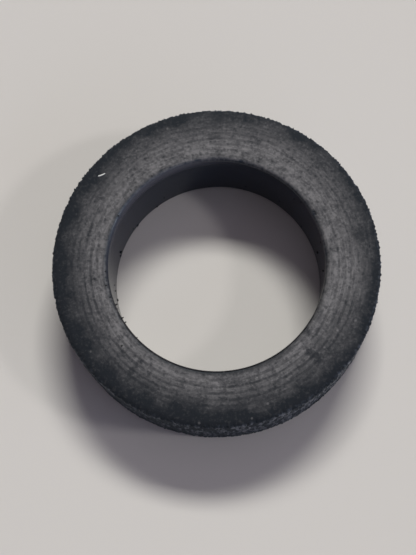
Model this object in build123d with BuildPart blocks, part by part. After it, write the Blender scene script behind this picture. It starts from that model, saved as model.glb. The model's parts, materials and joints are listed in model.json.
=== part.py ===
from build123d import *

import math
import os

# Rubber sealing ring: a thick round washer with a smooth bore along +Z. The end face has a flat sealing
# land with fine tool rings in it, and falls away slightly to the rim. The other end is the flat foot, on
# z = 0, with the origin at its middle.

# Driving sizes, in millimetres
bore_diameter = 20.0
wall = 5.0
height = 8.0

# Edges: rounded where the end face meets the bore, broken at the rim and round the foot
bore_edge_radius = 0.3
rim_chamfer = 0.3
foot_chamfer = 0.25

# End face: flat beside the bore, then a gentle fall to the rim
land_share = 0.52  # the part of the wall that stays flat
rim_fall = 0.2

# Tool rings, evenly spaced in the end face, each a shallow V-shaped groove
groove_count = 6
groove_width = 0.26
groove_depth = 0.05
first_groove_offset = 0.6  # from the bore's wall to the middle of the innermost groove
last_groove_offset = 1.55  # from the outside wall to the middle of the outermost groove

# Worked out from the sizes above
bore_radius = bore_diameter / 2
outer_radius = bore_radius + wall
land_radius = bore_radius + land_share * wall
fall_run = outer_radius - land_radius
fall_radius = (fall_run**2 + rim_fall**2) / (2 * rim_fall)
groove_pitch = (wall - first_groove_offset - last_groove_offset) / (groove_count - 1)


def face_height(radius):
    """Height of the end face, before it is grooved, at a radius between the bore and the rim."""
    run = max(radius - land_radius, 0)
    return height - fall_radius + math.sqrt(fall_radius**2 - run**2)


with BuildPart() as sealing_ring:
    # Section of the wall, turned about the ring's axis
    with BuildSketch(Plane.XZ):
        with BuildLine():
            Polyline(
                (land_radius, height),
                (bore_radius, height),
                (bore_radius, 0),
                (outer_radius, 0),
                (outer_radius, height - rim_fall),
            )
            TangentArc((land_radius, height), (outer_radius, height - rim_fall), tangent=(1, 0))
        make_face()
        fillet(vertices().group_by(Axis.X)[0].sort_by(Axis.Y)[-1], radius=bore_edge_radius)
        chamfer(vertices().group_by(Axis.X)[-1].sort_by(Axis.Y)[-1], length=rim_chamfer)
        chamfer(vertices().group_by(Axis.Y)[0], length=foot_chamfer)
    revolve(axis=Axis.Z)

    # Tool rings, which follow the end face down as it falls to the rim
    with BuildSketch(Plane.XZ):
        for ring in range(groove_count):
            radius = bore_radius + first_groove_offset + ring * groove_pitch
            with Locations((radius, face_height(radius))):
                Polygon(
                    (0, -groove_depth), (groove_width, groove_depth), (-groove_width, groove_depth), align=None
                )
    revolve(axis=Axis.Z, mode=Mode.SUBTRACT)

sealing_ring.part.label = "sealing_ring"

os.makedirs("parts", exist_ok=True)
export_step(sealing_ring.part, "parts/sealing_ring.step")
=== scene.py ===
"""Dresses a rubber sealing ring: worn grey end face, torn outside, satin bore and clinging dirt."""

import json
import math

import bmesh
import bpy
from bpy.props import FloatProperty, FloatVectorProperty, IntProperty, PointerProperty
from mathutils import Matrix, Vector

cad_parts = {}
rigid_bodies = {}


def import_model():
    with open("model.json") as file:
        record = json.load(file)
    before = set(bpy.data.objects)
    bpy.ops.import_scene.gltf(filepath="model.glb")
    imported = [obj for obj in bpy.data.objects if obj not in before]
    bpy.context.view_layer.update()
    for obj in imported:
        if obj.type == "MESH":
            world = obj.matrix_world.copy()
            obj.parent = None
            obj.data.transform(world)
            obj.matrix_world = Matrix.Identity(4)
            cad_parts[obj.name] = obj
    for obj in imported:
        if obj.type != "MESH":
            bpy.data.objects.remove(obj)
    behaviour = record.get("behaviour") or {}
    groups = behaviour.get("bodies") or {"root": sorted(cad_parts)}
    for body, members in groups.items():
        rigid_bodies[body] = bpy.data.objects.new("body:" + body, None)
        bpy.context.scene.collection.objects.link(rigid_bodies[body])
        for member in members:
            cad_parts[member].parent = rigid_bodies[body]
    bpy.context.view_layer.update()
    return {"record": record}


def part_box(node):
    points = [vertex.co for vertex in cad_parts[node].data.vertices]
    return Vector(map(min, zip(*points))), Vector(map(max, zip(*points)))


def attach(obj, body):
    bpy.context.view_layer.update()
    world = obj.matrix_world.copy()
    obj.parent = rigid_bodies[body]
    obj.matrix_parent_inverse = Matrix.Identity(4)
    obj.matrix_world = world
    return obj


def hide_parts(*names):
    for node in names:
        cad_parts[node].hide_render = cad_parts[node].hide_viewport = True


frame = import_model()

bl_info = {
    "name": "Worn rubber sealing ring",
    "version": (1, 0, 0),
    "blender": (4, 5, 0),
    "location": "3D View > Sidebar > Sealing Ring",
    "description": "Models a worn rubber sealing ring over its solid, with its stage",
    "category": "Object",
}

NODE = "sealing_ring"
BODY = "root"

MM = 0.001
CLOSE = MM / 100  # places nearer than this are taken as one
TOUCHING = MM / 1000  # vertices nearer than this are merged

# The ring's own sizes come from the solid and its mounts
MOUNTS = {mount["name"]: mount for mount in frame["record"]["mounts"]}
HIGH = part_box(NODE)[1]
OUTER_RADIUS = HIGH.x
HEIGHT = HIGH.z
BORE_RADIUS = MOUNTS["bore"]["dims"]["r_mm"] * MM

# Cuts across the bore's wall
WALL_CUTS = 3

# Reach and depth of the marks in the skin
FACE_REACH = 0.5 * MM  # how far below the land the end face is marked
FACE_FADE = 0.2 * MM
PITTED_RADIUS = 10.5 * MM  # the end face is pitted in full from here outwards
PIT_DEPTH = 0.035 * MM
TURN_FADE = 0.12  # share of its depth that the spiral loses with each turn outwards
TEAR_START = 0.25 * MM  # how far inside the outer radius the tears begin, and where they are full
TEAR_FULL = 0.02 * MM
FOOT_FADE = 0.4 * MM  # the tears fade out over this height above the foot
BURR_DROP = 0.8 * MM  # how far below the rim the burrs reach, and how far inside it
BURR_INSET = 0.2 * MM

# Middle of the worn part of the end face, in millimetres off the axis
WORN_MIDDLE = (0.33, 0.3)

# Smudges and rubbed spots on the end face: azimuth in degrees, radius, half length outwards and half width in
# millimetres, and how much darker, or paler below zero
SMUDGES_AND_NICK_SHADE = (
    (5, 13.6, 1.1, 1.1, 0.55),
    (5, 11.5, 0.4, 1.2, -0.25),
    (15, 11.1, 0.9, 3.0, 0.15),
    # Painted shade: this one darkens the nick in the bore's edge
    (21.5, 10.3, 0.2, 0.4, 0.9),
    (37, 10.75, 0.6, 1.5, 0.27),
    (39, 13.5, 0.6, 0.7, 0.4),
    (58, 12.0, 0.7, 1.9, -0.2),
    (65, 13.9, 0.7, 1.3, -0.45),
    (66, 10.7, 0.5, 0.9, 0.2),
    (66, 12.2, 0.7, 0.6, 0.2),
    (85, 12.2, 0.35, 0.7, 0.45),
    (95, 10.5, 0.4, 0.9, 0.2),
    (126, 13.4, 0.45, 0.5, 0.45),
    (135, 12.6, 0.8, 1.1, -0.3),
    (144, 12.7, 0.25, 0.8, 0.5),
    (158, 12.05, 0.2, 0.8, 0.45),
    (175, 12.25, 0.5, 1.2, 0.28),
    (187, 10.35, 0.35, 1.3, 0.2),
    (205, 12.4, 0.7, 1.0, 0.28),
    (213, 10.85, 0.5, 1.5, -0.35),
    (219, 12.1, 0.8, 0.25, 0.4),
    (227.5, 12.3, 1.4, 0.35, 0.6),
    (245, 10.6, 0.5, 2.6, -0.35),
    (258, 13.4, 0.9, 0.8, 0.55),
    (274, 10.85, 0.7, 1.4, 0.3),
    (277, 14.0, 0.7, 1.3, -1.0),
    (294, 13.9, 0.8, 1.0, -0.7),
    (305, 10.55, 0.5, 0.9, -0.4),
    (309.5, 12.4, 1.1, 0.45, 0.65),
    (316, 12.0, 1.9, 1.2, 0.3),
    (324, 10.8, 0.6, 1.2, 0.25),
    (327, 12.0, 0.6, 1.2, 0.3),
    (344, 13.8, 0.8, 1.2, -0.6),
    (349, 12.4, 1.6, 2.3, -0.42),
)

# Pale specks on the end face: azimuth in degrees, radius and half width in millimetres
SPECKS = (
    (59.4, 12.05, 0.11),
    (103.3, 13.9, 0.12),
    (210.3, 13.95, 0.12),
    (258.4, 14.7, 0.11),
    (276.7, 14.6, 0.11),
    (283.6, 13.75, 0.14),
    (314.9, 12.55, 0.11),
    (323.8, 12.65, 0.12),
    (330.6, 13.7, 0.14),
)

# A nick in the bore's edge: azimuth in degrees, radius and half width in millimetres
NICK = (21.5, 10.25, 0.45)

# Crumbs on the bore's wall: azimuth in degrees, height and width in millimetres
BORE_CRUMBS = (
    (7.6, 6.4, 0.18),
    (8.2, 2.4, 0.3),
    (28.3, 0.6, 0.18),
    (31.5, 7.0, 0.18),
    (36.7, 5.8, 0.16),
    (46.4, 1.7, 0.16),
    (67.6, 1.4, 0.16),
    (88.8, 0.4, 0.18),
    (116.0, 1.5, 0.16),
    (121.4, 0.35, 0.22),
    (137.4, 0.3, 0.26),
    (141.0, 0.9, 0.14),
    (156.9, 1.25, 0.34),
    (158.4, 0.7, 0.2),
    (178.0, 2.2, 0.16),
    (180.5, 1.7, 0.2),
    (184.0, 0.4, 0.28),
    (353.8, 5.0, 0.26),
)

# Crumbs on the end face: azimuth in degrees, radius and width in millimetres
FACE_CRUMBS = (
    (119.6, 10.29, 0.16),
    (132.5, 10.57, 0.16),
    (147.5, 10.11, 0.2),
    (178.6, 10.13, 0.18),
    (186.1, 10.22, 0.18),
    (192.6, 10.14, 0.2),
    (216.6, 11.45, 0.2),
)

# Whiskers of flash that stand into the bore from its edge: azimuth in degrees, height and length in
# millimetres
WHISKERS = (
    (197.0, 7.55, 0.34),
    (199.5, 7.6, 0.2),
    (205.0, 7.6, 0.32),
    (208.0, 7.65, 0.28),
    (218.3, 7.65, 0.2),
)

# Shapes of the crumbs, as shares of their width, and of the whiskers, as shares of their length
WALL_CRUMB_DEPTH = 0.6
FACE_CRUMB_BREADTH = 0.7
WHISKER_BREADTH = 0.45
WHISKER_REACH = 0.3  # from the wall to the whisker's middle

# A fibre of lint on the end face: azimuth in degrees and radius in millimetres along it, and how its width
# changes from one point to the next
LINT = ((136.9, 13.87), (136.3, 13.74), (135.2, 13.6), (134.1, 13.49))
LINT_GROWTH = (1.15, 0.85, 0.6)

# Stage, in metres
FLOOR_SIZE = 4.0
FLOOR_GAP = MM / 100  # so that the foot and the floor never share a plane
LAMP_DISTANCE = 4.0
SENSOR_WIDTH = 36.0  # in millimetres, as the lens is

# Lamps: name, the setting that holds its share, direction from the ring, width and height in degrees, tint
LAMPS = (
    ("key_lamp", "key_share", (1.6, 6.1, 8.0), (25, 10), (1.0, 1.02, 0.965)),
    ("side_lamp", "side_share", (8.8, -1.9, 8.0), (6, 6), (1.0, 0.98, 0.98)),
    ("top_lamp", "top_share", (1.0, 0.8, 8.0), (40, 40), (1.0, 0.94, 1.1)),
    ("window_lamp", "window_share", (6.0, -5.5, 3.6), (70, 25), (0.85, 0.95, 1.25)),
)


class RingSizes(bpy.types.PropertyGroup):
    """Sizes of the ring and of its marks."""

    outer_radius: FloatProperty(
        name="Outer radius", description="Radius of the outside before it is torn", default=OUTER_RADIUS,
        unit="LENGTH",
    )
    bore_radius: FloatProperty(
        name="Bore radius", description="Radius of the smooth bore", default=BORE_RADIUS, unit="LENGTH"
    )
    height: FloatProperty(name="Height", description="Foot to sealing land", default=HEIGHT, unit="LENGTH")
    land_radius: FloatProperty(
        name="Land radius", description="Where the flat land ends and the fall to the rim starts",
        default=12.6 * MM, unit="LENGTH",
    )
    rim_fall: FloatProperty(
        name="Rim fall", description="How far the end face drops at the rim", default=0.2 * MM, unit="LENGTH"
    )
    bore_draw: FloatProperty(
        name="Bore draw", description="How much smaller the bore's radius has come out", default=0.04 * MM,
        unit="LENGTH",
    )
    bore_shift: FloatVectorProperty(
        name="Bore shift", description="How far the bore is off centre", size=2, unit="LENGTH",
        default=(0.06 * MM, -0.02 * MM),
    )
    bore_edge: FloatProperty(
        name="Bore edge", description="Round where the end face meets the bore", default=0.5 * MM,
        unit="LENGTH",
    )
    rim_edge: FloatProperty(
        name="Rim edge", description="Round at the rim", default=0.38 * MM, unit="LENGTH"
    )
    foot_edge: FloatProperty(
        name="Foot edge", description="Round at both edges of the foot", default=0.25 * MM, unit="LENGTH"
    )
    groove_count: IntProperty(name="Spiral turns", description="Turns of the tool's spiral", default=6)
    groove_first: FloatProperty(
        name="Spiral start", description="Radius at which the tool's spiral starts", default=10.35 * MM,
        unit="LENGTH",
    )
    groove_pitch: FloatProperty(
        name="Spiral pitch", description="Step from one turn of the spiral to the next", default=0.574 * MM,
        unit="LENGTH",
    )
    groove_width: FloatProperty(
        name="Groove half width", description="Half the width of the spiral's groove", default=0.28 * MM,
        unit="LENGTH",
    )
    groove_depth: FloatProperty(
        name="Groove depth", description="Depth of the spiral's groove", default=0.06 * MM, unit="LENGTH"
    )
    groove_shift: FloatVectorProperty(
        name="Spiral shift", description="How far off the axis the spiral was cut", size=2, unit="LENGTH",
        default=(0.275 * MM, -0.175 * MM),
    )
    turn_steps: IntProperty(name="Steps round", description="Steps in one turn of the skin", default=1280)
    tear_depth: FloatProperty(
        name="Tear depth", description="Depth of the tears down the outside", default=0.16 * MM, unit="LENGTH"
    )
    burr_height: FloatProperty(
        name="Burr height", description="How far a burr stands out of the rim", default=0.1 * MM,
        unit="LENGTH",
    )
    nick_depth: FloatProperty(
        name="Nick depth", description="Depth of the nick in the bore's edge", default=0.12 * MM,
        unit="LENGTH",
    )
    lint_width: FloatProperty(
        name="Lint width", description="Width of the fibre", default=0.13 * MM, unit="LENGTH"
    )


class RubberFinish(bpy.types.PropertyGroup):
    """Colours and gloss of the rubber and of what clings to it."""

    black: FloatVectorProperty(
        name="Rubber", description="Unworn rubber", subtype="COLOR", size=3, min=0, max=1,
        default=(0.0063, 0.0068, 0.0095),
    )
    # Painted reflection: this bluish tint, used at the back of the bore, stands in for the cool light the far
    # wall reflects
    bore: FloatVectorProperty(
        name="Bore", description="Smooth rubber in the bore", subtype="COLOR", size=3, min=0, max=1,
        default=(0.004, 0.0105, 0.023),
    )
    # Painted glint: along the bore's far edge this colour stands in for the low cool lamp glinting on the
    # round; along the right edge it is pale bloom
    bloom_and_glint: FloatVectorProperty(
        name="Bloom", description="Pale bloom along the bore's far and right edges", subtype="COLOR", size=3,
        min=0, max=1, default=(0.088, 0.09, 0.115),
    )
    grey: FloatVectorProperty(
        name="Worn rubber", description="Chalky grey of the worn end face", subtype="COLOR", size=3,
        min=0, max=1, default=(0.174, 0.166, 0.171),
    )
    torn: FloatVectorProperty(
        name="Torn rubber", description="Rubber of the torn outside", subtype="COLOR", size=3, min=0, max=1,
        default=(0.0075, 0.0108, 0.0165),
    )
    # Painted glint: these flecks are partly scuffed rubber and partly stand in for cool light glinting on the
    # torn ridges
    scuff_and_glint: FloatVectorProperty(
        name="Torn flecks", description="Pale flecks on the torn outside", subtype="COLOR", size=3,
        min=0, max=1, default=(0.117, 0.132, 0.166),
    )
    crumb: FloatVectorProperty(
        name="Crumbs", description="Crumbs of rubber", subtype="COLOR", size=3, min=0, max=1,
        default=(0.003, 0.003, 0.004),
    )
    lint: FloatVectorProperty(
        name="Lint", description="Fibre stuck to the end face", subtype="COLOR", size=3, min=0, max=1,
        default=(0.9, 0.89, 0.86),
    )
    bore_roughness: FloatProperty(
        name="Bore roughness", description="Satin of the bore", default=0.22, min=0, max=1, subtype="FACTOR"
    )
    skin_roughness: FloatProperty(
        name="Skin roughness", description="Unworn and torn rubber", default=0.76, min=0, max=1,
        subtype="FACTOR",
    )
    worn_roughness: FloatProperty(
        name="Worn roughness", description="Chalky worn rubber", default=0.95, min=0, max=1, subtype="FACTOR"
    )
    sheen_level: FloatProperty(
        name="Reflection", description="Specular level of the rubber", default=0.23, min=0, max=1,
        subtype="FACTOR",
    )
    sheen_tint: FloatVectorProperty(
        name="Reflection tint", description="Cool tint of the rubber's gloss", subtype="COLOR", size=3,
        min=0, max=1, default=(0.74, 0.88, 1.0),
    )


class StageLook(bpy.types.PropertyGroup):
    """Floor, lamps and camera."""

    floor: FloatVectorProperty(
        name="Floor", description="Pale floor", subtype="COLOR", size=3, min=0, max=1,
        default=(0.61, 0.578, 0.556),
    )
    ambient: FloatVectorProperty(
        name="Ambient", description="Light from all round", subtype="COLOR", size=3, min=0, max=1,
        default=(0.075, 0.067, 0.08),
    )
    key_share: FloatProperty(
        name="Key lamp", description="Share of the light from the far side", default=0.705, min=0, max=2
    )
    side_share: FloatProperty(
        name="Side lamp", description="Share of the light from the right", default=0.1, min=0, max=2
    )
    top_share: FloatProperty(
        name="Top lamp", description="Share of the light from overhead", default=0.07, min=0, max=2
    )
    window_share: FloatProperty(
        name="Window lamp", description="Share of the low, cool light from the front", default=0.075,
        min=0, max=2,
    )
    lens: FloatProperty(name="Lens", description="Focal length in millimetres", default=72.2, min=1)
    elevation: FloatProperty(
        name="Elevation", description="Camera height above the horizon", default=math.radians(75.47),
        subtype="ANGLE",
    )
    roll: FloatProperty(
        name="Roll", description="Camera turn about its own axis", default=math.radians(-5.95),
        subtype="ANGLE",
    )
    distance: FloatProperty(
        name="Distance", description="Camera to the point it aims at", default=109.65 * MM, unit="LENGTH"
    )
    aim: FloatVectorProperty(
        name="Aim", description="Point on the floor that the camera aims at", size=3, unit="LENGTH",
        default=(-0.855 * MM, 0.72 * MM, 0),
    )


# Shader maths


class Value:
    """An output socket. Sums, products and powers of Values add Math nodes."""

    def __init__(self, shader, socket):
        self.shader = shader
        self.socket = socket

    def math(self, operation, *others):
        return self.shader.add("ShaderNodeMath", {"operation": operation}, dict(enumerate((self, *others))))

    def __add__(self, other):
        return self.math("ADD", other)

    __radd__ = __add__

    def __sub__(self, other):
        return self.math("SUBTRACT", other)

    def __rsub__(self, other):
        return self.shader.add("ShaderNodeMath", {"operation": "SUBTRACT"}, {0: other, 1: self})

    def __mul__(self, other):
        return self.math("MULTIPLY", other)

    __rmul__ = __mul__

    def __truediv__(self, other):
        return self.math("DIVIDE", other)

    def __pow__(self, other):
        return self.math("POWER", other)

    def ramp(self, start, end, smooth=True):
        """0 up to start and 1 from end on; start may be the larger."""
        kind = "SMOOTHSTEP" if smooth else "LINEAR"
        return self.shader.add(
            "ShaderNodeMapRange",
            {"interpolation_type": kind, "clamp": True},
            {"Value": self, "From Min": start, "From Max": end},
        )


class Shader:
    """A new material's nodes."""

    def __init__(self, name):
        self.material = bpy.data.materials.new(name)
        self.material.use_nodes = True
        self.tree = self.material.node_tree
        self.surface = self.tree.nodes["Principled BSDF"]

    def add(self, kind, settings=None, sockets=None, output=0):
        """Adds a node, sets its settings, fills its sockets and gives one of its outputs."""
        node = self.tree.nodes.new(kind)
        for name, value in (settings or {}).items():
            setattr(node, name, value)
        for name, value in (sockets or {}).items():
            self.fill(node.inputs[name], value)
        return Value(self, node.outputs[output])

    def fill(self, socket, value):
        if isinstance(value, Value):
            self.tree.links.new(value.socket, socket)
        else:
            socket.default_value = value

    def finish(self, **sockets):
        """Fills the Principled shader's sockets, named with underscores for spaces."""
        for name, value in sockets.items():
            self.fill(self.surface.inputs[name.replace("_", " ")], value)
        return self.material

    def place(self):
        """Position on the piece in millimetres, as a vector and as x, y and z."""
        where = self.add("ShaderNodeTexCoord", output="Object")
        where = self.add("ShaderNodeVectorMath", {"operation": "SCALE"}, {0: where, "Scale": 1 / MM})
        split = self.add("ShaderNodeSeparateXYZ", sockets={0: where}).socket.node
        return where, *(Value(self, split.outputs[axis]) for axis in "XYZ")

    def vector(self, x, y, z):
        return self.add("ShaderNodeCombineXYZ", sockets={0: x, 1: y, 2: z})

    def noise(self, where, scale, detail=2.0, roughness=0.5):
        """Noise about zero."""
        sockets = {"Vector": where, "Scale": scale, "Detail": detail, "Roughness": roughness}
        return self.add("ShaderNodeTexNoise", sockets=sockets) - 0.5

    def cells(self, where, scale):
        """Distance to the nearest of points that are scattered over a level plane."""
        sockets = {"Vector": where, "Scale": scale}
        return self.add("ShaderNodeTexVoronoi", {"voronoi_dimensions": "2D"}, sockets, output="Distance")

    def mix(self, share, first, second):
        """A colour between two colours."""
        sockets = {0: share, 6: colour(first), 7: colour(second)}
        return self.add("ShaderNodeMix", {"data_type": "RGBA"}, sockets, output=2)


def colour(value):
    return value if isinstance(value, Value) else (*value, 1.0)


def hypotenuse(first, second):
    return (first * first + second * second) ** 0.5


# Shape of the end face


def crown_drop(radius, sizes):
    """How far the end face has dropped from the land at a radius, all in metres."""
    run = max(radius - sizes.land_radius, 0.0)
    full = sizes.outer_radius - sizes.land_radius
    bend = (full**2 + sizes.rim_fall**2) / (2 * sizes.rim_fall)
    return bend - math.sqrt(bend**2 - run**2)


def face_height(radius, sizes):
    """Height of the end face, and of its round into the bore, at a radius."""
    inside = max(sizes.bore_radius + sizes.bore_edge - radius, 0.0)
    round_drop = sizes.bore_edge - math.sqrt(max(sizes.bore_edge**2 - inside**2, 0.0))
    return sizes.height - crown_drop(radius, sizes) - round_drop


# Materials


def rubber_material(sizes, finish):
    """Black rubber: satin bore, torn outside, and an end face worn to a chalky, speckled grey."""
    shader = Shader("worn_rubber")
    where, x, y, z = shader.place()
    radius = hypotenuse(x, y)
    bore = sizes.bore_radius / MM
    rim = sizes.outer_radius / MM
    top = sizes.height / MM
    round_turn = shader.vector(x / radius * 6.0, y / radius * 6.0, radius * 2.5)

    def along(azimuth):
        """Cosine of the angle to an azimuth in degrees: 1 along it, and less to both sides."""
        turn = math.radians(azimuth)
        return (x * math.cos(turn) + y * math.sin(turn)) / radius

    def from_spot(azimuth, out):
        """How far outwards and across from the spot at an azimuth in degrees and a radius."""
        cosine = math.cos(math.radians(azimuth))
        sine = math.sin(math.radians(azimuth))
        return x * cosine + y * sine - out, y * cosine - x * sine

    # Where the end face is, and how far out its wear reaches: further on the right and at the back
    on_face = z.ramp(top - 0.9, top - 0.45)
    clouds = shader.noise(where, 0.38, 2.0)
    patches = shader.noise(where, 1.1, 3.0, 0.6)
    reach = hypotenuse(x - WORN_MIDDLE[0], y - WORN_MIDDLE[1]) + clouds * 3.0 + patches * 2.2
    wear = reach.ramp(rim - 0.6, rim - 2.7, smooth=False) * 0.68 + reach.ramp(rim - 2.5, rim - 4.2) * 0.32

    # Beside the bore it stops short in front and on the left, and runs over the edge at the back and on the
    # right, where it also fades in more gently
    spared = y.ramp(-2.0, -10.0) * 0.22 + y.ramp(-8.0, -10.2) * 0.14 + along(156.5).ramp(0.897, 0.987) * 0.15
    rubbed_over = y.ramp(4.0, 9.0) * x.ramp(-7.0, -1.0) * 0.18 + along(13.9).ramp(0.961, 0.996) * 0.2
    inwards = radius - bore - (top - z) * 0.5 - spared + rubbed_over
    inwards = inwards / (1 + along(0).ramp(0.7, 1.0) * 0.85)
    wear = wear * inwards.ramp(-0.35, 0.55)

    # Rubbed along the turn, grained and pitted
    streaks = shader.noise(round_turn, 2.2, 2.0, 0.6)
    grain = shader.noise(where, 3.5, 2.0, 0.7)
    scatter = shader.noise(where, 2.0, 2.0)
    pits = (shader.cells(where, 1.45) + scatter * 0.9).ramp(0.2, 0.05)
    wear = wear * (1.0 + streaks * 1.4 + grain * 1.6 + patches * 2.1 + clouds * 1.0) * (1 - pits * 0.42)

    # The tool's spiral stays darker, in broken lengths, most of all in front, where the extra darkening is
    # painted shade of the groove's slopes
    shift_x, shift_y = (part / MM for part in sizes.groove_shift)
    start = sizes.groove_first / MM
    pitch = sizes.groove_pitch / MM
    spiral_radius = hypotenuse(x - shift_x, y - shift_y) + shader.noise(where, 0.7, 1.0) * 0.14
    turns = (spiral_radius - start) / pitch - y.math("ARCTAN2", x) / math.tau
    line = (turns * math.tau).math("COSINE").ramp(-0.4, 0.9)
    broken = shader.noise(round_turn, 0.6, 2.0, 0.6).ramp(-0.16, 0.1)
    shade_in_front = 0.32 + (y + x * 0.35).ramp(4.0, -6.0) * 0.24
    half_way_out = (0.65 + radius.ramp(bore + 0.9, bore + 1.5) * 0.35) * radius.ramp(bore + 4.2, bore + 2.9)
    wear = wear * (1 - line * broken * shade_in_front * half_way_out)

    # Smudges and rubbed spots have ragged edges, and so has the painted shade in the nick
    ragged = patches * 1.6 + grain * 0.9
    for azimuth, out, length, width, dark in SMUDGES_AND_NICK_SHADE:
        outwards, across = from_spot(azimuth, out)
        blot = (hypotenuse(outwards / length, across / width) + ragged).ramp(1.3, 0.3)
        wear = wear * (1 - blot * dark)

    # Chalk dust and a few pale specks lie on the unworn part too
    wear = wear + grain.ramp(0.0, 0.22) * 0.16
    for azimuth, out, width in SPECKS:
        away = hypotenuse(*from_spot(azimuth, out)) + grain * 0.25
        wear = wear + away.ramp(width * 1.3, width * 0.4) * 0.55
    worn = wear.ramp(0.0, 1.4, smooth=False) * on_face

    # The bore is smooth and bluish at the back. Along its far edge lies a painted glint of the low cool lamp
    # on the round, and along its right edge pale bloom in the same colour, but not between them
    in_bore = radius.ramp(bore + 0.34, bore + 0.14)
    far_painted_glint = along(45).ramp(0.976, 0.498) * y.ramp(-2.0, 9.0)
    right_bloom = along(11.5).ramp(0.93, 0.99) * 0.8
    bloom_and_glint = radius.ramp(bore + 0.14, bore - 0.05) * z.ramp(top - 1.9, top - 0.5)
    bloom_and_glint = bloom_and_glint * far_painted_glint.math("MAXIMUM", right_bloom)
    # Painted reflection: the bore's rubber is tinted bluish at the back for the cool light the far wall
    # reflects
    skin = shader.mix(in_bore * y.ramp(-6.0, 6.0), finish.black, finish.bore)
    skin = shader.mix(bloom_and_glint, skin, finish.bloom_and_glint)
    tone = shader.mix(worn, skin, finish.grey)

    # The outside is torn down its height, and its ridges are painted paler: partly scuffed rubber, partly a
    # painted glint of the cool light from the front and the right, so they are paler on the right, with
    # painted shade towards the foot
    on_side = radius.ramp(rim - 0.35, rim - 0.1) * z.ramp(top - 0.15, top - 0.5)
    torn = shader.noise(shader.vector(x, y, z * 0.25), 2.6, 2.0, 0.5)
    scuff_and_glint = (torn + clouds * 0.3).ramp(-0.08, 0.26) * on_side * z.ramp(0.1, 1.2)
    scuff_and_glint = scuff_and_glint * (0.55 + x.ramp(-8.0, 6.0) * 0.45) * (0.4 + z.ramp(0.0, 5.0) * 0.6)
    tone = shader.mix(on_side, tone, finish.torn)
    tone = shader.mix(scuff_and_glint, tone, finish.scuff_and_glint)

    # The foot is scuffed in patches
    scuffed = (patches + clouds).ramp(-0.1, 0.4) * z.ramp(0.3, 0.05) * 0.4
    tone = shader.mix(scuffed, tone, finish.grey)

    roughness = finish.skin_roughness + worn * (finish.worn_roughness - finish.skin_roughness)
    roughness = roughness - in_bore * (finish.skin_roughness - finish.bore_roughness)
    roughness = roughness - scuff_and_glint * (finish.skin_roughness - finish.bore_roughness)

    # A fine grain lies all over, but hardly shows in the bore
    relief = shader.noise(where, 8.0, 2.0, 0.6) * (1 - in_bore * 0.85)
    normal = shader.add("ShaderNodeBump", sockets={"Strength": 0.4, "Distance": 0.04 * MM, "Height": relief})
    return shader.finish(
        Base_Color=tone, Roughness=roughness, Normal=normal, Specular_IOR_Level=finish.sheen_level,
        Specular_Tint=colour(finish.sheen_tint),
    )


def dirt_material(name, tone, roughness):
    """A tone broken up by a fine grain, for small dirt."""
    shader = Shader(name)
    where = shader.place()[0]
    grain = shader.noise(where, 6.0, 2.0) + 0.5
    shade = tuple(part * 0.6 for part in tone)
    return shader.finish(
        Base_Color=shader.mix(grain, shade, tone), Roughness=roughness, Specular_IOR_Level=0.25
    )


# Modelling helpers


def deselect():
    bpy.ops.object.select_all(action="DESELECT")


def choose(piece):
    deselect()
    bpy.context.view_layer.objects.active = piece
    piece.select_set(True)


def edit(piece):
    choose(piece)
    bpy.ops.object.mode_set(mode="EDIT")


def leave_edit():
    bpy.ops.object.mode_set(mode="OBJECT")


def pick(piece, kind, test):
    """In edit mode, selects the vertices or edges whose place passes the test."""
    bpy.ops.mesh.select_mode(type="VERT" if kind == "verts" else "EDGE")
    bpy.ops.mesh.select_all(action="DESELECT")
    mesh = bmesh.from_edit_mesh(piece.data)
    found = False
    for part in getattr(mesh, kind):
        place = part.co if kind == "verts" else (part.verts[0].co + part.verts[1].co) / 2
        if test(place):
            part.select_set(True)
            found = True
    mesh.select_flush_mode()
    bmesh.update_edit_mesh(piece.data)
    if not found:
        raise RuntimeError(f"{piece.name}: nothing to select")


def near(place, x, z, room=CLOSE):
    return abs(place.x - x) < room and abs(place.z - z) < room


def divide(piece, x, z, cuts):
    """Divides the edge whose middle is about at x and z."""
    pick(piece, "edges", lambda place: near(place, x, z, room=0.2 * MM))
    bpy.ops.mesh.subdivide(number_cuts=cuts)


def round_corner(piece, x, z, size, segments):
    pick(piece, "verts", lambda place: near(place, x, z))
    bpy.ops.mesh.bevel(offset=size, segments=segments, affect="VERTICES", clamp_overlap=False)


def weigh(piece, name, weight_at):
    """A vertex group whose weights come from each vertex's place."""
    group = piece.vertex_groups.new(name=name)
    for vertex in piece.data.vertices:
        weight = weight_at(vertex.co)
        if weight > 0:
            group.add([vertex.index], min(weight, 1.0), "REPLACE")
    return name


def roughen(piece, group, kind, grain, depth, stretch=1.0, shift=0.0, middle=0.5, **settings):
    """Pushes a group's vertices in and out along their normals by a texture, stretched up the axis."""
    texture = bpy.data.textures.new(f"{group}_{kind.lower()}", kind)
    texture.noise_scale = grain / MM
    for name, value in settings.items():
        setattr(texture, name, value)
    deselect()
    bpy.ops.object.empty_add(location=(shift, shift, shift))
    guide = bpy.context.object
    guide.scale = (MM, MM, MM * stretch)
    bpy.context.view_layer.update()
    choose(piece)
    bpy.ops.object.modifier_add(type="DISPLACE")
    modifier = piece.modifiers[-1]
    modifier.texture = texture
    modifier.texture_coords = "OBJECT"
    modifier.texture_coords_object = guide
    modifier.vertex_group = group
    modifier.strength = depth
    modifier.mid_level = middle
    bpy.ops.object.modifier_apply(modifier=modifier.name)
    bpy.data.objects.remove(guide)
    bpy.data.textures.remove(texture)


def step(value, start, end):
    share = min(max((value - start) / (end - start), 0.0), 1.0)
    return share * share * (3 - 2 * share)


# Pieces


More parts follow.
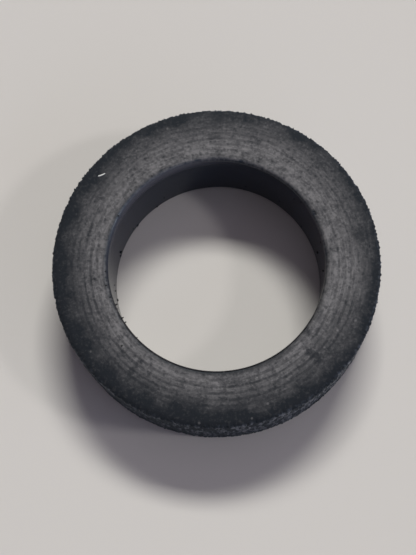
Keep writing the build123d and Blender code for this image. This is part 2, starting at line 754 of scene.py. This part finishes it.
class SEALRING_OT_ring_skin(bpy.types.Operator):
    """Model the ring's skin: tool marks in the end face, torn outside, burred rim and satin bore"""

    bl_idname = "sealring.ring_skin"
    bl_label = "Ring Skin"

    def execute(self, context):
        sizes = context.scene.ring_sizes
        ring = self.section(sizes)
        self.crown(ring, sizes)
        self.turn(ring, sizes)
        self.mark_face(ring, sizes)
        self.tear_outside(ring, sizes)
        ring.data.materials.append(rubber_material(sizes, context.scene.rubber_finish))
        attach(ring, BODY)
        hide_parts(NODE)
        return {"FINISHED"}

    def section(self, sizes):
        """The wall's section as a loop of edges on the XZ plane, dense where the skin has marks."""
        wall = sizes.outer_radius - sizes.bore_radius
        centre = sizes.bore_radius + wall / 2
        middle = sizes.height / 2
        deselect()
        bpy.ops.mesh.primitive_plane_add(size=1, rotation=(math.pi / 2, 0, 0), location=(centre, 0, middle))
        ring = bpy.context.object
        ring.name = ring.data.name = "ring_skin"
        ring.scale = (wall, sizes.height, 1)
        bpy.ops.object.transform_apply(location=True, rotation=True, scale=True)
        edit(ring)
        round_corner(ring, sizes.bore_radius, sizes.height, sizes.bore_edge, segments=6)
        round_corner(ring, sizes.outer_radius, sizes.height, sizes.rim_edge, segments=4)
        round_corner(ring, sizes.bore_radius, 0, sizes.foot_edge, segments=2)
        round_corner(ring, sizes.outer_radius, 0, sizes.foot_edge, segments=2)
        bpy.ops.mesh.select_all(action="SELECT")
        bpy.ops.mesh.delete(type="ONLY_FACE")
        divide(ring, sizes.outer_radius, middle, cuts=17)
        divide(ring, sizes.bore_radius, middle, cuts=WALL_CUTS)
        self.hold_foot(ring, sizes)
        divide(ring, centre, 0, cuts=2)
        divide(ring, centre, sizes.height, cuts=36)
        return ring

    def hold_foot(self, ring, sizes):
        """Adds a point low on the bore's wall, so that the wall looks straight down to its foot."""
        span = (sizes.height - sizes.foot_edge - sizes.bore_edge) / (WALL_CUTS + 1)
        half_way = sizes.foot_edge + span / 2
        divide(ring, sizes.bore_radius, half_way, cuts=1)
        pick(ring, "verts", lambda place: near(place, sizes.bore_radius, half_way))
        bpy.ops.transform.translate(value=(0, 0, sizes.foot_edge / 2 - span / 2))

    def crown(self, ring, sizes):
        """Drops the end face towards the rim."""
        mesh = bmesh.from_edit_mesh(ring.data)
        lowest = sizes.height - sizes.rim_edge - CLOSE
        for place in [vertex.co.copy() for vertex in mesh.verts if vertex.co.z > lowest]:
            drop = crown_drop(place.x, sizes)
            if drop > 0:
                pick(ring, "verts", lambda co: (co - place).length < TOUCHING)
                bpy.ops.transform.translate(value=(0, 0, -drop))

    def turn(self, ring, sizes):
        """Spins the section through an eighth of a turn, and doubles that three times to close the ring."""
        bpy.ops.mesh.select_all(action="SELECT")
        bpy.ops.mesh.spin(steps=sizes.turn_steps // 8, angle=math.tau / 8, center=(0, 0, 0), axis=(0, 0, 1))
        for share in (8, 4, 2):
            bpy.ops.mesh.select_all(action="SELECT")
            bpy.ops.mesh.duplicate()
            bpy.ops.transform.rotate(value=math.tau / share, orient_axis="Z", center_override=(0, 0, 0))
        bpy.ops.mesh.select_all(action="SELECT")
        bpy.ops.mesh.remove_doubles(threshold=TOUCHING)
        bpy.ops.mesh.normals_make_consistent(inside=False)
        self.ease_bore(ring, sizes)
        leave_edit()
        bpy.ops.object.shade_smooth()

    def ease_bore(self, ring, sizes):
        """Draws the bore in a little, and sets it off centre."""
        edge = sizes.bore_radius + sizes.bore_edge + CLOSE
        size = 1 - sizes.bore_draw / sizes.bore_radius
        pick(ring, "verts", lambda place: place.xy.length < edge)
        bpy.ops.transform.resize(value=(size, size, 1), center_override=(0, 0, 0))
        bpy.ops.transform.translate(value=(*sizes.bore_shift, 0))

    def mark_face(self, ring, sizes):
        """Cuts the tool's spiral in broken lengths, pits the end face and nicks the bore's edge."""
        shift = Vector(sizes.groove_shift)
        top = sizes.height - FACE_REACH

        def groove(place):
            if place.z < top:
                return 0
            turned = math.atan2(place.y, place.x) / math.tau % 1.0
            out = (place.xy - shift).length - sizes.groove_first - turned * sizes.groove_pitch
            turn_number = min(max(round(out / sizes.groove_pitch), 0), sizes.groove_count - 1)
            off = abs(out - turn_number * sizes.groove_pitch) / sizes.groove_width
            return step(off, 1.0, 0.0) * (1 - TURN_FADE * turn_number)

        def face(place):
            high = step(place.z, top, top + FACE_FADE)
            return high * step(place.xy.length, sizes.bore_radius, PITTED_RADIUS)

        turn, out, width = NICK
        middle = Vector((math.cos(math.radians(turn)), math.sin(math.radians(turn)), 0)) * out * MM
        middle.z = sizes.height

        def nick(place):
            return step((place - middle).length, width * MM, 0.0)

        weigh(ring, "tool_marks", groove)
        weigh(ring, "end_face", face)
        weigh(ring, "nick", nick)
        roughen(
            ring, "tool_marks", "CLOUDS", grain=0.9 * MM, depth=-sizes.groove_depth, middle=0.15,
            noise_depth=1,
        )
        roughen(ring, "end_face", "CLOUDS", grain=0.3 * MM, depth=PIT_DEPTH, shift=11 * MM, noise_depth=2)
        roughen(ring, "nick", "CLOUDS", grain=0.2 * MM, depth=-sizes.nick_depth, middle=0.0, noise_depth=1)

    def tear_outside(self, ring, sizes):
        """Tears the outside down its height, and raises burrs along the rim."""
        def outside(place):
            out = step(place.xy.length, sizes.outer_radius - TEAR_START, sizes.outer_radius - TEAR_FULL)
            return out * step(place.z, 0, FOOT_FADE)

        weigh(ring, "outside", outside)
        depth = sizes.tear_depth
        roughen(
            ring, "outside", "CLOUDS", grain=0.5 * MM, depth=depth * 0.5, stretch=3.0, middle=0.2,
            noise_depth=1,
        )
        roughen(
            ring, "outside", "CLOUDS", grain=0.2 * MM, depth=depth, stretch=4.0, shift=3 * MM, middle=0.2,
            noise_type="HARD_NOISE", noise_depth=1,
        )
        roughen(
            ring, "outside", "VORONOI", grain=0.22 * MM, depth=depth * 0.8, stretch=2.5, shift=7 * MM,
            middle=0.15,
        )

        edit(ring)
        low = sizes.height - sizes.rim_fall - BURR_DROP
        inner = sizes.outer_radius - BURR_INSET
        pick(ring, "verts", lambda place: place.z > low and place.xy.length > inner)
        bpy.ops.mesh.select_random(ratio=0.94, seed=11, action="DESELECT")
        bpy.ops.transform.vertex_random(offset=sizes.burr_height, uniform=0.3, normal=1.0, seed=7)
        leave_edit()


class SEALRING_OT_crumbs(bpy.types.Operator):
    """Model one crumb, and set copies of it in the bore, on the end face and as flash on the bore's edge"""

    bl_idname = "sealring.crumbs"
    bl_label = "Crumbs"

    def execute(self, context):
        sizes = context.scene.ring_sizes
        first = self.crumb()
        spots = []
        for azimuth, height, width in BORE_CRUMBS:
            wall = sizes.bore_radius + self.eased(azimuth, sizes)
            spots.append((azimuth, wall, height * MM, WALL_CRUMB_DEPTH * width, width))
        for azimuth, radius, width in FACE_CRUMBS:
            height = face_height(radius * MM - self.eased(azimuth, sizes), sizes)
            spots.append((azimuth, radius * MM, height, width, FACE_CRUMB_BREADTH * width))
        for azimuth, height, length in WHISKERS:
            middle = sizes.bore_radius - WHISKER_REACH * length * MM
            spots.append((azimuth, middle, height * MM, length, WHISKER_BREADTH * length))
        copies = [self.set_down(first, number, *spot) for number, spot in enumerate(spots)]
        bpy.data.objects.remove(first)
        crumbs = copies[0]
        choose(crumbs)
        for copy in copies:
            copy.select_set(True)
        bpy.ops.object.transform_apply(location=True, rotation=True, scale=True)
        bpy.ops.object.join()
        crumbs.name = crumbs.data.name = "crumbs"
        tone = context.scene.rubber_finish.crumb
        crumbs.data.materials.append(dirt_material("rubber_crumbs", tone, roughness=0.8))
        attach(crumbs, BODY)
        return {"FINISHED"}

    def eased(self, azimuth, sizes):
        """How far the bore's wall and edge have moved outwards at an azimuth in degrees."""
        turn = math.radians(azimuth)
        return Vector(sizes.bore_shift).dot((math.cos(turn), math.sin(turn))) - sizes.bore_draw

    def crumb(self):
        """A lump one unit across, pulled out of round."""
        deselect()
        bpy.ops.mesh.primitive_ico_sphere_add(subdivisions=2, radius=0.5, location=(0, 0, 0))
        crumb = bpy.context.object
        edit(crumb)
        bpy.ops.mesh.select_all(action="SELECT")
        bpy.ops.transform.vertex_random(offset=0.16, uniform=0.3, normal=0.7, seed=3)
        bpy.ops.mesh.normals_make_consistent(inside=False)
        leave_edit()
        bpy.ops.object.shade_smooth_by_angle(angle=math.radians(40))
        return crumb

    def set_down(self, first, number, azimuth, radius, height, length, width):
        """A copy of the crumb at its place, its length along the radius, rolled and tipped by its number."""
        choose(first)
        bpy.ops.object.duplicate(linked=False)
        copy = bpy.context.object
        turn = math.radians(azimuth)
        copy.location = (radius * math.cos(turn), radius * math.sin(turn), height)
        copy.rotation_euler = (number * 1.7, 0.3 * math.sin(number * 2.3), turn)
        copy.scale = (length * MM, width * MM, width * MM)
        return copy


class SEALRING_OT_lint(bpy.types.Operator):
    """Model the fibre of lint that lies on the end face"""

    bl_idname = "sealring.lint"
    bl_label = "Lint"

    def execute(self, context):
        sizes = context.scene.ring_sizes
        half = sizes.lint_width / 2
        places = []
        for azimuth, radius in LINT:
            turn = math.radians(azimuth)
            height = face_height(radius * MM, sizes) + 0.6 * half
            places.append(Vector((radius * MM * math.cos(turn), radius * MM * math.sin(turn), height)))
        along = (places[-1] - places[0]).normalized()
        deselect()
        bpy.ops.mesh.primitive_circle_add(
            vertices=8, radius=half, fill_type="NGON", location=places[0],
            rotation=along.to_track_quat("Z", "Y").to_euler(),
        )
        lint = bpy.context.object
        lint.name = lint.data.name = "lint"
        bpy.ops.object.transform_apply(location=True, rotation=True, scale=True)
        edit(lint)
        bpy.ops.mesh.select_mode(type="FACE")
        bpy.ops.mesh.select_all(action="SELECT")
        for start, end, grow in zip(places, places[1:], LINT_GROWTH):
            bpy.ops.mesh.extrude_region_move(TRANSFORM_OT_translate={"value": end - start})
            bpy.ops.transform.resize(value=(grow, grow, grow), center_override=end)
        bpy.ops.mesh.select_all(action="SELECT")
        bpy.ops.mesh.normals_make_consistent(inside=False)
        leave_edit()
        bpy.ops.object.modifier_add(type="SUBSURF")
        rounding = lint.modifiers[-1]
        rounding.levels = rounding.render_levels = 2
        bpy.ops.object.modifier_apply(modifier=rounding.name)
        bpy.ops.object.shade_smooth()
        tone = context.scene.rubber_finish.lint
        lint.data.materials.append(dirt_material("lint_fibre", tone, roughness=0.7))
        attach(lint, BODY)
        return {"FINISHED"}


class SEALRING_OT_stage(bpy.types.Operator):
    """Set the floor, the lamps, the light from all round and the camera"""

    bl_idname = "sealring.stage"
    bl_label = "Stage"

    def execute(self, context):
        look = context.scene.stage_look
        self.floor(look)
        for name, share, towards, spread, tint in LAMPS:
            self.lamp(name, getattr(look, share), Vector(towards).normalized(), spread, tint)
        self.world(context.scene, look)
        self.camera(context.scene, look)
        context.scene.view_settings.view_transform = "Standard"
        return {"FINISHED"}

    def floor(self, look):
        """A wide plane, a hair below the foot."""
        deselect()
        bpy.ops.mesh.primitive_plane_add(size=FLOOR_SIZE, location=(0, 0, -FLOOR_GAP))
        floor = bpy.context.object
        floor.name = floor.data.name = "floor"
        shader = Shader("pale_floor")
        floor.data.materials.append(
            shader.finish(Base_Color=colour(look.floor), Roughness=0.9, Specular_IOR_Level=0.1)
        )

    def lamp(self, name, share, towards, spread, tint):
        """A soft lamp, its spread in degrees, that gives the floor this share of a plain light."""
        deselect()
        bpy.ops.object.light_add(type="AREA", location=towards * LAMP_DISTANCE)
        lamp = bpy.context.object
        lamp.name = lamp.data.name = name
        lamp.rotation_euler = towards.to_track_quat("Z", "Y").to_euler()
        lamp.data.shape = "RECTANGLE"
        width, height = (2 * LAMP_DISTANCE * math.tan(math.radians(part) / 2) for part in spread)
        lamp.data.size = width
        lamp.data.size_y = height
        lamp.data.color = tint
        lamp.data.energy = share * (math.pi * LAMP_DISTANCE) ** 2 / towards.z

    def world(self, scene, look):
        """Even light from all round; the camera and reflections see the floor's own pale tone."""
        world = bpy.data.worlds.new("pale_room")
        scene.world = world
        world.use_nodes = True
        nodes = world.node_tree.nodes
        links = world.node_tree.links
        path = nodes.new("ShaderNodeLightPath")
        shown = path.outputs["Is Camera Ray"]
        for kind in ("Is Glossy Ray", "Is Transmission Ray"):
            either = nodes.new("ShaderNodeMath")
            either.operation = "ADD"
            either.use_clamp = True
            links.new(shown, either.inputs[0])
            links.new(path.outputs[kind], either.inputs[1])
            shown = either.outputs[0]
        mix = nodes.new("ShaderNodeMix")
        mix.data_type = "RGBA"
        mix.inputs[6].default_value = colour(look.ambient)
        mix.inputs[7].default_value = colour(look.floor)
        links.new(shown, mix.inputs[0])
        links.new(mix.outputs[2], nodes["Background"].inputs["Color"])

    def camera(self, scene, look):
        deselect()
        bpy.ops.object.camera_add()
        camera = bpy.context.object
        camera.name = camera.data.name = "camera"
        back = Vector((0, -math.cos(look.elevation), math.sin(look.elevation)))
        right = Vector((1, 0, 0))
        up = back.cross(right)
        turned_right = right * math.cos(look.roll) + up * math.sin(look.roll)
        turned_up = up * math.cos(look.roll) - right * math.sin(look.roll)
        turn = Matrix((turned_right, turned_up, back)).transposed()
        camera.matrix_world = Matrix.Translation(Vector(look.aim) + back * look.distance) @ turn.to_4x4()
        camera.data.lens = look.lens
        camera.data.sensor_width = SENSOR_WIDTH
        camera.data.clip_start = MM
        scene.camera = camera


class SEALRING_PT_panel(bpy.types.Panel):
    """Sizes, finish and stage of the sealing ring"""

    bl_idname = "SEALRING_PT_panel"
    bl_label = "Sealing Ring"
    bl_space_type = "VIEW_3D"
    bl_region_type = "UI"
    bl_category = "Sealing Ring"

    def draw(self, context):
        layout = self.layout
        for name in GROUPS:
            settings = getattr(context.scene, name)
            box = layout.box()
            for item in settings.bl_rna.properties:
                if not item.is_readonly and item.identifier != "name":
                    box.prop(settings, item.identifier)
        for operator in OPERATORS:
            layout.operator(operator.bl_idname)


GROUPS = {"ring_sizes": RingSizes, "rubber_finish": RubberFinish, "stage_look": StageLook}
OPERATORS = (SEALRING_OT_ring_skin, SEALRING_OT_crumbs, SEALRING_OT_lint, SEALRING_OT_stage)
CLASSES = (*GROUPS.values(), *OPERATORS, SEALRING_PT_panel)


def register():
    for cls in CLASSES:
        bpy.utils.register_class(cls)
    for name, group in GROUPS.items():
        setattr(bpy.types.Scene, name, PointerProperty(type=group))


def unregister():
    for name in GROUPS:
        delattr(bpy.types.Scene, name)
    for cls in reversed(CLASSES):
        bpy.utils.unregister_class(cls)


def main():
    register()
    bpy.ops.sealring.ring_skin()
    bpy.ops.sealring.crumbs()
    bpy.ops.sealring.lint()
    bpy.ops.sealring.stage()


if __name__ == "__main__":
    main()
